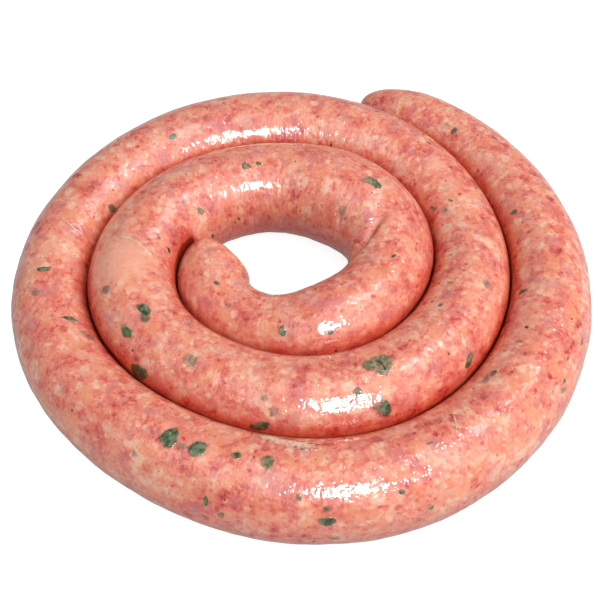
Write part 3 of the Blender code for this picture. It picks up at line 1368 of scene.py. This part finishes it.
@dataclass
class Casing:
    """The casing with its filling: one closed tube of fine mesh, shut at both tips."""

    roller: Roller
    columns: int = 1041
    sides: int = 94
    bake_rows: int = 3
    bake_margin: float = 0.012
    tip_share: float = 0.02
    tip_squeeze: float = 0.7
    weld: float = 0.002

    def build(self) -> bpy.types.Object:
        """Roll a flat sheet of casing into the coil and close it.

        Returns:
            The finished piece.
        """
        work = bmesh.new()
        work.loops.layers.uv.new(BAKE_MAP)
        bmesh.ops.create_grid(
            work, x_segments=self.columns, y_segments=self.sides, size=0.5, calc_uvs=True
        )
        total = self.roller.winding.total_length
        for vertex in work.verts:
            along = self.tip_spacing(vertex.co.x + 0.5)
            vertex.co = (along * total, BELLY + (vertex.co.y + 0.5) * 360.0, 0.0)
        self.roller.settle(work)
        bmesh.ops.remove_doubles(work, verts=work.verts, dist=self.weld * MM)
        piece = finished(work, "casing")
        self.arrange_bake_map(piece.data)
        return piece

    def tip_spacing(self, share: float) -> float:
        """Space the rings along the sausage, closer together on the tips.

        Args:
            share: The share of the rings that come before.

        Returns:
            The share of the length that lies before.
        """
        tip = self.tip_share
        if share < tip:
            return tip * (1.0 - math.cos(share / tip * math.pi / 2.0)) * self.tip_squeeze
        if share > 1.0 - tip:
            return 1.0 - self.tip_spacing(1.0 - share)
        start = tip * self.tip_squeeze
        return start + (share - tip) * (1.0 - 2.0 * start) / (1.0 - 2.0 * tip)

    def arrange_bake_map(self, mesh: bpy.types.Mesh) -> None:
        """Lay the long strip of casing in rows, one above the other, on the bake map.

        Args:
            mesh: The casing's mesh, whose map runs from 0 to 1 along and around.
        """
        flat = np.empty(len(mesh.loops) * 2)
        layer = mesh.uv_layers[BAKE_MAP]
        layer.uv.foreach_get("vector", flat)
        along, around = flat.reshape(-1, 2).T
        starts = np.empty(len(mesh.polygons), int)
        totals = np.empty(len(mesh.polygons), int)
        mesh.polygons.foreach_get("loop_start", starts)
        mesh.polygons.foreach_get("loop_total", totals)
        owner = np.repeat(np.arange(len(starts)), totals)
        middles = np.add.reduceat(along, starts) / totals
        row = np.floor(middles * self.bake_rows)[owner]
        room = 1.0 - 2.0 * self.bake_margin
        placed_u = self.bake_margin + room * (along * self.bake_rows - row)
        placed_v = (row + self.bake_margin + room * around) / self.bake_rows
        layer.uv.foreach_set("vector", np.column_stack([placed_u, placed_v]).ravel())

    def dress(self, piece: bpy.types.Object, finisher: Finisher) -> None:
        """Give the casing its finish, and hide the solid that it stands for.

        Args:
            piece: The casing.
            finisher: What puts a material together.
        """
        graph, shader = finisher.begin(piece, "stuffed_casing")
        finisher.close(graph, shader, finisher.filling(graph))
        finisher.soften(shader)
        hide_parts(NODE)


class Depth(Enum):
    """How deep a flake seems to lie under the casing, from 0 to 1."""

    PRESSED = 0.0
    VEILED = 0.45
    DEEP = 1.0


@dataclass(frozen=True)
class Flake:
    """One flake of leaf: where it lies, its size along and round the sausage, its turn."""

    coil_angle: float
    section: float
    along: float
    around: float
    turn: float = 0.0
    depth: Depth = Depth.PRESSED


PRESSED, VEILED, DEEP = Depth


@dataclass
class Herbs:
    """Chopped leaf that shows through the casing: thin flakes laid over it."""

    roller: Roller
    seed: int = 11
    scattered: int = 150
    bare_ends: tuple[float, float] = (6.0, 10.0)
    outer_share: float = 0.6
    outer_sections: tuple[float, float] = (-100.0, 20.0)
    inner_sections: tuple[float, float] = (160.0, 260.0)
    size: tuple[float, float] = (1.0, 4.6)
    slimness: tuple[float, float] = (0.45, 1.0)
    thickness: float = 0.25
    lift: float = 0.05
    corners: tuple[int, int] = (5, 8)
    corner_shift: float = 0.28
    jut: tuple[float, float] = (0.80, 1.20)
    edge_wobble: float = 0.10
    rounding: float = 0.36
    rim_width: float = 0.14
    ring_width: float = 0.10
    ring_every: float = 3.0
    most_rings: int = 3
    rim_inside: float = 0.6
    growth: float = 1.50
    placed: tuple[Flake, ...] = (
        Flake(909.5, 88, 2.4, 4.6, 5), Flake(924.5, 117, 2.0, 6.5, -18),
        Flake(929, 130, 2.6, 4.0, 0, DEEP), Flake(931, 136, 3.0, 4.5, 30, DEEP),
        Flake(915.5, 77, 4.0, 3.4, 30, DEEP), Flake(576.5, 57, 5.2, 4.4), Flake(574, 90, 6.4, 3.4, 10),
        Flake(576.5, 84, 4.5, 4.0, -30, VEILED), Flake(585.5, 27, 5.2, 4.6, 20),
        Flake(598, 76, 5.0, 4.6, 0, DEEP), Flake(965, 86, 5.6, 6.8, 10), Flake(971, 87, 5.0, 4.8, 35),
        Flake(968, 82, 3.0, 2.6, 0, DEEP), Flake(960.5, 52, 2.2, 2.0, 0, DEEP),
        Flake(978.5, 92, 3.2, 2.2, 15), Flake(984.5, 92, 4.4, 5.0, 20, VEILED),
        Flake(621.5, 27, 5.5, 3.2, 35), Flake(621.5, 62, 2.4, 3.6, 0, DEEP),
        Flake(624.5, 47, 3.0, 3.6, 0, DEEP), Flake(261.5, 57, 2.0, 4.2, 5),
        Flake(215, 87, 3.0, 1.4, 30, VEILED), Flake(230, 72, 2.4, 2.4, 0, DEEP),
        Flake(654.5, 92, 7.8, 7.0, 25, VEILED), Flake(651, 95, 4.5, 5.5, -30, VEILED),
        Flake(651.5, 42, 3.0, 6.0, 8), Flake(649.5, 44, 3.4, 5.0, 0, DEEP),
        Flake(645.5, 67, 2.6, 3.4, 0, VEILED), Flake(677, 36, 4.0, 2.6, 30),
        Flake(1037, 122, 3.4, 2.4, -10), Flake(1034.5, 124, 4.0, 2.4, 0, DEEP),
        Flake(686, 112, 2.6, 2.0, 20, VEILED), Flake(687.5, 127, 1.6, 0.9, 20),
        Flake(398, 86, 8.0, 4.2, 25, VEILED), Flake(394, 84, 4.0, 3.0, -20),
        Flake(399.5, 138, 3.8, 4.6, 0, DEEP), Flake(392, 143, 1.8, 1.8, 0, VEILED),
        Flake(357.5, 122, 1.2, 4.6, 35, VEILED), Flake(341, 82, 1.0, 2.2, 60),
        Flake(314, 117, 3.2, 1.2, 10, VEILED), Flake(482, 102, 2.8, 3.4, 10, VEILED),
        Flake(479.5, 105, 0.9, 1.2), Flake(474.5, 102, 2.2, 2.2, 20, VEILED),
        Flake(447.5, 112, 2.8, 1.2, 0, DEEP), Flake(435.5, 72, 3.4, 1.0, 0, DEEP),
        Flake(515, 137, 2.8, 4.0, 15, VEILED), Flake(519.5, 117, 2.2, 1.8, 30, DEEP),
        Flake(494, 167, 1.4, 2.0, 20), Flake(497, 172, 1.2, 1.5, 0, VEILED), Flake(513.5, 176, 2.4, 2.8),
        Flake(543, 140, 3.4, 1.8, 20), Flake(540.5, 122, 1.4, 1.2, 0, VEILED),
        Flake(519.5, 57, 2.6, 1.0, 10), Flake(519.5, 73, 2.4, 1.6, 0, DEEP),
        Flake(561.5, 57, 2.8, 3.8, 0, DEEP), Flake(854, 112, 3.2, 2.0),
        Flake(884, 143, 3.4, 3.4, 0, VEILED), Flake(834.5, 70, 5.0, 0.9, 0, VEILED),
        Flake(834.5, 82, 1.8, 0.9), Flake(795.5, 147, 1.0, 2.6), Flake(1124, 117, 3.0, 4.6, 10, VEILED),
        Flake(1127, 112, 2.4, 1.6, 0, DEEP), Flake(1115, 77, 3.6, 1.2, 15, VEILED),
        Flake(740, 137, 3.6, 1.1, 20), Flake(735.5, 122, 2.0, 1.8, 0, VEILED),
        Flake(738.5, 108, 2.2, 1.0, 30, VEILED), Flake(1091, 132, 2.2, 2.6, 0, VEILED),
        Flake(1064, 137, 1.8, 3.8, 15), Flake(1052, 117, 1.8, 1.4, 30),
        Flake(1047.5, 117, 2.0, 2.8, 0, DEEP), Flake(764, 68, 2.4, 0.9, 10), Flake(766, 84, 1.0, 1.0),
        Flake(785, 67, 1.8, 1.0), Flake(698, 117, 1.8, 2.4, 0, DEEP), Flake(713, 127, 1.4, 2.0, 0, DEEP),
        Flake(701, 67, 3.0, 3.2, 0, DEEP), Flake(1055, 37, 2.6, 1.4, 0, VEILED),
        Flake(1049, 52, 2.8, 1.0, 0, DEEP), Flake(1044.5, 42, 2.2, 1.4, 0, VEILED),
        Flake(1043, 36, 2.2, 1.8, 0, VEILED), Flake(1031, 127, 1.2, 1.0, 0, VEILED),
        Flake(1019, 117, 2.2, 1.2, 0, DEEP), Flake(1014.5, 92, 2.2, 1.2, 0, VEILED),
        Flake(1022, 114, 1.2, 0.8), Flake(1028, 8, 1.6, 1.8, 0, DEEP),
        Flake(1011, 24, 1.8, 1.8, 0, VEILED), Flake(1007, 52, 2.0, 1.6), Flake(995, 30, 4.6, 3.0),
        Flake(995, 44, 2.2, 1.6, 0, VEILED), Flake(996, 3, 3.0, 2.0, 0, DEEP),
        Flake(990.5, 57, 1.8, 2.2, 0, VEILED), Flake(975.5, 33, 1.2, 3.4, 10),
        Flake(978.5, 22, 2.2, 2.4, 0, VEILED), Flake(641, 118, 1.8, 0.9, 0, VEILED),
        Flake(284, 47, 1.4, 1.2),
    )

    def scatter(self) -> list[Flake]:
        """Strew flakes over the sides and the back that the placed ones leave bare.

        Returns:
            The flakes.
        """
        chance = np.random.default_rng(self.seed)
        winding = self.roller.winding
        strewn = []
        for _ in range(self.scattered):
            length = chance.uniform(self.bare_ends[0], winding.total_length - self.bare_ends[1])
            outside = chance.random() < self.outer_share
            section = chance.uniform(*(self.outer_sections if outside else self.inner_sections))
            coil_angle = float(winding.angle_at(length))
            size = chance.uniform(*self.size)
            shape = chance.uniform(*self.slimness)
            depth = (PRESSED, VEILED, DEEP)[chance.integers(3)]
            turn = chance.uniform(0.0, 180.0)
            strewn.append(Flake(coil_angle, section, size, size * shape, turn, depth))
        return strewn

    def outline(self, work: bmesh.types.BMesh, chance: np.random.Generator) -> bmesh.types.BMFace:
        """Cut a flake's outline, with uneven rounded corners.

        Args:
            work: The mesh that gets it.
            chance: Where the unevenness comes from.

        Returns:
            The outline's one face, about one unit across.
        """
        corners = int(chance.integers(*self.corners))
        shifts = chance.uniform(-self.corner_shift, self.corner_shift, corners)
        turns = (np.arange(corners) + shifts) * math.tau / corners
        juts = 0.5 * chance.uniform(*self.jut, corners)
        points = bmesh.ops.create_circle(work, cap_ends=True, radius=1.0, segments=2 * corners)["verts"]
        for number, point in enumerate(points):
            this = number // 2
            other = (this + number % 2) % corners
            corner = [Vector((math.cos(turns[i]), math.sin(turns[i]))) * juts[i] for i in (this, other)]
            middle = (corner[0] + corner[1]) / 2.0
            point.co.xy = middle * (1.0 + chance.uniform(-1.0, 1.0) * self.edge_wobble)
        bmesh.ops.smooth_vert(
            work, verts=points, factor=self.rounding, use_axis_x=True, use_axis_y=True
        )
        return points[0].link_faces[0]

    def edge_rings(self, work: bmesh.types.BMesh, face: bmesh.types.BMFace, rings: int) -> None:
        """Draw rings inside a flake's edge, and store how far inside it each point lies.

        Args:
            work: The flake's mesh.
            face: Its one face, which is cut up.
            rings: How many rings to draw.
        """
        inside = work.verts.layers.float["inside"]
        for number in range(rings):
            width = self.ring_width if number else self.rim_width
            bmesh.ops.inset_region(
                work, faces=[face], thickness=width, use_boundary=True, use_even_offset=False
            )
            for point in face.verts:
                point[inside] = self.rim_inside + (1.0 - self.rim_inside) * number / rings
        bmesh.ops.poke(work, faces=[face])["verts"][0][inside] = 1.0

    def seat(self, flake: Flake, growth: float) -> Matrix:
        """Return what turns, sizes and moves a flake to its place on the unrolled casing.

        Args:
            flake: Its place and size.
            growth: How many times larger than stated it is cut.

        Returns:
            The matrix.
        """
        winding = self.roller.winding
        half = float(winding.half_at(np.array([flake.coil_angle]))[0])
        length = float(winding.length_at(flake.coil_angle))
        return (
            Matrix.Translation((length, flake.section, 0.0))
            @ Matrix.Diagonal((1.0, math.degrees(1.0 / half), 1.0, 1.0))
            @ Matrix.Rotation(math.radians(flake.turn), 4, "Z")
            @ Matrix.Diagonal((flake.along * growth, flake.around * growth, 1.0, 1.0))
        )

    def cut(
        self, work: bmesh.types.BMesh, flake: Flake, growth: float, chance: np.random.Generator
    ) -> None:
        """Cut one flake and lay it on the unrolled casing.

        Args:
            work: The mesh that gets the flake.
            flake: Its place and size.
            growth: How many times larger than stated it is cut.
            chance: Where its corners' unevenness comes from.
        """
        already = len(work.verts)
        face = self.outline(work, chance)
        rings = min(1 + int(max(flake.along, flake.around) / self.ring_every), self.most_rings)
        self.edge_rings(work, face, rings)
        work.verts.ensure_lookup_table()
        sunk = work.verts.layers.float["sunk"]
        parts = work.verts[already:]
        for point in parts:
            point.co.z = self.lift
            point[sunk] = flake.depth.value
        faces = list({face for point in parts for face in point.link_faces})
        bmesh.ops.solidify(work, geom=faces, thickness=self.thickness)
        work.verts.ensure_lookup_table()
        bmesh.ops.transform(work, matrix=self.seat(flake, growth), verts=work.verts[already:])

    def build(self) -> bpy.types.Object:
        """Cut every flake and roll them into the coil.

        Returns:
            The finished piece.
        """
        chance = np.random.default_rng(self.seed + 1)
        work = bmesh.new()
        for name in ("sunk", "inside"):
            work.verts.layers.float.new(name)
        for flake in self.placed:
            self.cut(work, flake, self.growth, chance)
        for flake in self.scatter():
            self.cut(work, flake, 1.0, chance)
        self.roller.settle(work)
        bmesh.ops.recalc_face_normals(work, faces=work.faces)
        return finished(work, "herb_flakes")

    def dress(self, piece: bpy.types.Object, finisher: Finisher, leaf: bpy.types.NodeTree) -> None:
        """Give the flakes their finish.

        Args:
            piece: The flakes.
            finisher: What puts a material together.
            leaf: The group that colours a flake.
        """
        graph, shader = finisher.begin(piece, "chopped_leaf")
        green = graph.group(leaf, {
            "Meat": finisher.stored(graph, STRAIGHT, "Vector"),
            "Inside": finisher.stored(graph, "inside"),
            "Sunk": finisher.stored(graph, "sunk"),
        })
        graph.tree.links.new(green.outputs["Cover"], shader.inputs["Alpha"])
        finisher.close(graph, shader, green.outputs["Color"])


@dataclass(frozen=True)
class Strand:
    """One strand: the coil and section angles it passes, its width and how clear it is."""

    course: tuple[tuple[float, float], ...]
    width: float
    clear: float


@dataclass
class Membranes:
    """Tissue that shows through the casing: thin threads, strips of fat and one wider band."""

    roller: Roller
    seed: int = 5
    strewn: int = 60
    bare_ends: tuple[float, float] = (20.0, 45.0)
    reach: tuple[float, float] = (7.0, 20.0)
    lean: float = 3.0
    bow: float = 1.2
    strewn_width: tuple[float, float] = (0.3, 0.8)
    strewn_clear: tuple[float, float] = (0.25, 0.6)
    lift: float = 0.055
    thickness: float = 0.12
    step: float = 0.9
    least_steps: int = 4
    lanes: int = 4
    wobble: float = 0.22
    softenings: int = 3
    end_width: float = 0.06
    end_roundness: float = 0.6
    end_fade: float = 4.0
    unevenness: tuple[float, float] = (0.7, 1.25)
    strands: tuple[Strand, ...] = (
        Strand(((979.0, 138.0), (983.5, 132.0), (989.0, 124.0), (994.5, 118.0)), 6.6, 1.0),
        Strand(((893.4, 80.0), (894.6, 96.0), (896.0, 112.0), (896.4, 138.0)), 0.9, 0.95),
        Strand(((895.0, 101.0), (898.5, 114.0), (899.0, 128.0)), 0.4, 0.6),
        Strand(((896.0, 112.0), (893.5, 122.0), (892.5, 132.0)), 0.4, 0.6),
        Strand((
            (1127.3, 120.0), (1128.6, 127.0), (1127.0, 133.0), (1125.3, 131.0), (1125.8, 125.0),
        ), 0.45, 0.9),
        Strand(((680.6, 70.0), (679.0, 59.0), (678.5, 49.0)), 1.6, 0.75),
        Strand(((1022.4, 114.0), (1022.0, 103.0), (1020.3, 90.0)), 1.3, 0.75),
        Strand(((1110.5, 160.0), (1109.0, 146.0)), 0.5, 0.8),
        Strand(((735.0, 145.0), (730.0, 151.0), (723.5, 152.0)), 0.45, 0.8),
        Strand(((736.0, 134.0), (734.0, 121.0), (731.0, 109.0)), 0.45, 0.6),
        Strand(((734.5, 124.0), (731.5, 118.0), (728.0, 116.0)), 0.4, 0.5),
        Strand(((543.0, 62.0), (544.5, 80.0), (545.0, 94.0), (547.0, 108.0), (550.0, 122.0)), 1.6, 0.50),
        Strand(((545.0, 88.0), (549.0, 98.0), (551.0, 112.0), (555.0, 124.0)), 0.7, 0.5),
        Strand(((546.5, 104.0), (543.5, 114.0), (544.0, 126.0)), 0.5, 0.55),
    )

    def scatter(self) -> list[Strand]:
        """Strew faint strands over the whole casing, mostly running round it.

        Returns:
            The strands.
        """
        chance = np.random.default_rng(self.seed)
        winding = self.roller.winding
        strewn = []
        for _ in range(self.strewn):
            length = chance.uniform(self.bare_ends[0], winding.total_length - self.bare_ends[1])
            coil_angle = float(winding.angle_at(length))
            section = chance.uniform(BELLY, BELLY + 360.0)
            reach = chance.uniform(*self.reach)
            lean = chance.normal(0.0, self.lean)
            bow = chance.normal(0.0, self.bow)
            course = (
                (coil_angle - lean, section - reach),
                (coil_angle + bow, section),
                (coil_angle + lean, section + reach),
            )
            width = chance.uniform(*self.strewn_width)
            strewn.append(Strand(course, width, chance.uniform(*self.strewn_clear)))
        return strewn

    def lay(self, work: bmesh.types.BMesh, strand: Strand, chance: np.random.Generator) -> None:
        """Lay one strand on the unrolled casing.

        Args:
            work: The mesh that gets the strand.
            strand: Its course and width.
            chance: Where its unevenness comes from.
        """
        winding = self.roller.winding
        angles, sections = np.array(strand.course).T
        half = float(winding.half_at(angles[:1])[0])
        marks = np.column_stack([winding.length_at(angles), np.radians(sections) * half])
        run = np.concatenate([[0.0], np.cumsum(np.linalg.norm(np.diff(marks, axis=0), axis=1))])
        count = max(int(run[-1] / self.step), self.least_steps)
        share = np.linspace(0.0, 1.0, count + 1)
        line = np.column_stack([np.interp(share * run[-1], run, marks[:, k]) for k in range(2)])
        for _ in range(self.softenings):
            line[1:-1] = (line[:-2] + 2.0 * line[1:-1] + line[2:]) / 4.0
        line[1:-1] += chance.normal(0.0, self.wobble * min(strand.width, 1.0), (count - 1, 2))
        course = np.gradient(line, axis=0)
        side = np.column_stack([-course[:, 1], course[:, 0]])
        side /= np.linalg.norm(side, axis=1)[:, None]
        bulge = np.sin(math.pi * (self.end_width + (1.0 - 2.0 * self.end_width) * share))
        half_width = 0.5 * strand.width * bulge**self.end_roundness
        half_width *= chance.uniform(*self.unevenness, count + 1)

        already = len(work.verts)
        bmesh.ops.create_grid(work, x_segments=count, y_segments=self.lanes, size=1.0)
        work.verts.ensure_lookup_table()
        parts = work.verts[already:]
        inside, clear = (work.verts.layers.float[name] for name in ("inside", "clear"))
        for point in parts:
            place = int(round((point.co.x + 1.0) / 2.0 * count))
            across = point.co.y
            middle = line[place] + side[place] * half_width[place] * across
            from_end = min(share[place], 1.0 - share[place])
            point[inside] = (1.0 - abs(across)) * min(1.0, self.end_fade * from_end)
            point[clear] = strand.clear
            point.co = (middle[0], math.degrees(middle[1] / half), self.lift)
        faces = list({face for point in parts for face in point.link_faces})
        bmesh.ops.solidify(work, geom=faces, thickness=self.thickness)
        work.verts.ensure_lookup_table()

    def build(self) -> bpy.types.Object:
        """Lay every strand and roll them into the coil.

        Returns:
            The finished piece.
        """
        chance = np.random.default_rng(self.seed + 1)
        work = bmesh.new()
        for name in ("inside", "clear"):
            work.verts.layers.float.new(name)
        for strand in (*self.strands, *self.scatter()):
            self.lay(work, strand, chance)
        self.roller.settle(work)
        bmesh.ops.recalc_face_normals(work, faces=work.faces)
        return finished(work, "membranes")

    def dress(self, piece: bpy.types.Object, finisher: Finisher, tissue: bpy.types.NodeTree) -> None:
        """Give the strands their finish.

        Args:
            piece: The strands.
            finisher: What puts a material together.
            tissue: The group that draws a strand.
        """
        graph, shader = finisher.begin(piece, "connective_tissue")
        drawn = graph.group(tissue, {
            "Under": finisher.filling(graph),
            "Meat": finisher.stored(graph, STRAIGHT, "Vector"),
            "Inside": finisher.stored(graph, "inside"),
            "Clear": finisher.stored(graph, "clear"),
        })
        finisher.close(graph, shader, drawn.outputs["Color"])
        finisher.soften(shader)


# --------------------------------------------------------------------------
# Studio
# --------------------------------------------------------------------------


@dataclass(frozen=True)
class SoftLight:
    """One soft box: where it shines from, how large it looks and how bright it is."""

    name: str
    direction: tuple[float, float, float]
    wide: float
    high: float
    radiance: float
    lights: bool = True
    shines: bool = True
    distance: float = 1.1

    def build(self, target: Vector) -> None:
        """Hang the light so that it faces the target.

        Args:
            target: Where it faces, in metres.
        """
        lamp = bpy.data.lights.new(self.name, "AREA")
        lamp.shape = "RECTANGLE"
        lamp.size = 2.0 * self.distance * math.tan(math.radians(self.wide) / 2.0)
        lamp.size_y = 2.0 * self.distance * math.tan(math.radians(self.high) / 2.0)
        lamp.energy = self.radiance * math.pi * lamp.size * lamp.size_y
        holder = bpy.data.objects.new(self.name, lamp)
        towards = Vector(self.direction).normalized()
        holder.location = target + towards * self.distance
        holder.rotation_euler = towards.to_track_quat("Z", "Y").to_euler()
        holder.visible_diffuse = self.lights
        holder.visible_glossy = self.shines
        bpy.context.scene.collection.objects.link(holder)


@dataclass(frozen=True)
class Studio:
    """The pale floor, the soft lights and the camera."""

    floor_side: float = 6.0
    floor_colour: Colour = (0.34, 0.34, 0.34)
    floor_glow: float = 0.88
    floor_bounce: float = 0.22
    floor_roughness: float = 0.9
    fill: float = 0.26
    tilt: float = 51.766
    distance: float = 0.400
    aim: tuple[float, float] = (0.00184, 0.00157)
    lens: float = 57.62
    sensor: float = 36.0
    shift: tuple[float, float] = (-0.0112, -0.0041)
    near: float = 0.01
    lights: tuple[SoftLight, ...] = (
        SoftLight("front_soft_box", (0.22, -0.46, 0.86), 34.0, 20.0, 3.7, shines=False),
        SoftLight("front_low_cloth", (0.05, -1.0, 0.08), 60.0, 9.0, 1.4, shines=False),
        SoftLight("right_cloth", (0.75, 0.0, 0.70), 34.0, 34.0, 4.1, shines=False),
        SoftLight("front_glint", (0.16, -0.54, 0.83), 17.0, 12.5, 36.0, lights=False),
        SoftLight("right_glint", (0.42, 0.22, 0.88), 1.2, 30.0, 28.0, lights=False),
        SoftLight("overhead_cloth", (0.18, -0.35, 1.0), 70.0, 70.0, 1.17),
    )

    def floor(self) -> None:
        """Lay the pale floor, which glows towards the camera and less towards the sausage."""
        work = bmesh.new()
        bmesh.ops.create_grid(work, x_segments=1, y_segments=1, size=self.floor_side / 2.0)
        floor = finished(work, "floor")
        material = bpy.data.materials.new("pale_floor")
        material.use_nodes = True
        tree = material.node_tree
        shader = tree.nodes["Principled BSDF"]
        shader.inputs["Base Color"].default_value = (*self.floor_colour, 1.0)
        shader.inputs["Roughness"].default_value = self.floor_roughness
        shader.inputs["Specular IOR Level"].default_value = 0.0
        shader.inputs["Emission Color"].default_value = WHITE
        path = tree.nodes.new("ShaderNodeLightPath")
        glow = tree.nodes.new("ShaderNodeMath")
        glow.operation = "MULTIPLY_ADD"
        glow.inputs[1].default_value = self.floor_glow - self.floor_bounce
        glow.inputs[2].default_value = self.floor_bounce
        tree.links.new(path.outputs["Is Camera Ray"], glow.inputs[0])
        tree.links.new(glow.outputs[0], shader.inputs["Emission Strength"])
        material.cycles.emission_sampling = "NONE"
        floor.data.materials.append(material)

    def surroundings(self) -> None:
        """Fill the room with even light, and show it as plain white behind the floor."""
        world = bpy.data.worlds.new("white_room")
        world.use_nodes = True
        tree = world.node_tree
        back = tree.nodes["Background"]
        back.inputs["Color"].default_value = WHITE
        path = tree.nodes.new("ShaderNodeLightPath")
        seen = tree.nodes.new("ShaderNodeMath")
        seen.operation = "MAXIMUM"
        seen.inputs[1].default_value = self.fill
        tree.links.new(path.outputs["Is Camera Ray"], seen.inputs[0])
        tree.links.new(seen.outputs[0], back.inputs["Strength"])
        bpy.context.scene.world = world
        bpy.context.scene.view_settings.view_transform = "Standard"

    def camera(self, middle: Vector) -> None:
        """Stand the camera in front of the coil, looking down on it.

        Args:
            middle: The middle of the solid's box, in metres.
        """
        data = bpy.data.cameras.new("camera")
        data.lens = self.lens
        data.sensor_width = self.sensor
        data.shift_x, data.shift_y = self.shift
        data.clip_start = self.near
        holder = bpy.data.objects.new("camera", data)
        aim = Vector((middle.x + self.aim[0], middle.y + self.aim[1], 0.0))
        tilt = math.radians(self.tilt)
        back = Vector((0.0, -math.cos(tilt), math.sin(tilt)))
        holder.location = aim + back * self.distance
        holder.rotation_euler = (math.pi / 2.0 - tilt, 0.0, 0.0)
        bpy.context.scene.collection.objects.link(holder)
        bpy.context.scene.camera = holder

    def build(self, middle: Vector) -> None:
        """Set up everything round the sausage.

        Args:
            middle: The middle of the solid's box, in metres.
        """
        self.camera(middle)
        self.floor()
        self.surroundings()
        for light in self.lights:
            light.build(Vector((middle.x, middle.y, 0.0)))


def main() -> None:
    """Build the studio, the casing and what lies on it, and report each of them."""
    logging.basicConfig(level=logging.INFO, format="%(message)s")
    low, high = (np.array(corner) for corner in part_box(NODE))
    studio = Studio()
    studio.build(Vector((low + high) / 2.0))
    log.info("studio: floor, %d lights, camera", len(studio.lights))

    roller = Roller(Winding(), Relief(), (low, high))
    roller.centre()
    finisher = Finisher(Marks(roller), Mince().group(), WetSkin().group(), ShadePainter().group())
    casing = Casing(roller)
    piece = casing.build()
    casing.dress(piece, finisher)
    log.info("casing: %d faces, coil centre at %s", len(piece.data.polygons), roller.middle)
    herbs = Herbs(roller)
    piece = herbs.build()
    herbs.dress(piece, finisher, Leaf().group())
    log.info("herb flakes: %d faces", len(piece.data.polygons))
    membranes = Membranes(roller)
    piece = membranes.build()
    membranes.dress(piece, finisher, Tissue().group())
    log.info("membranes: %d faces", len(piece.data.polygons))


if __name__ == "__main__":
    main()
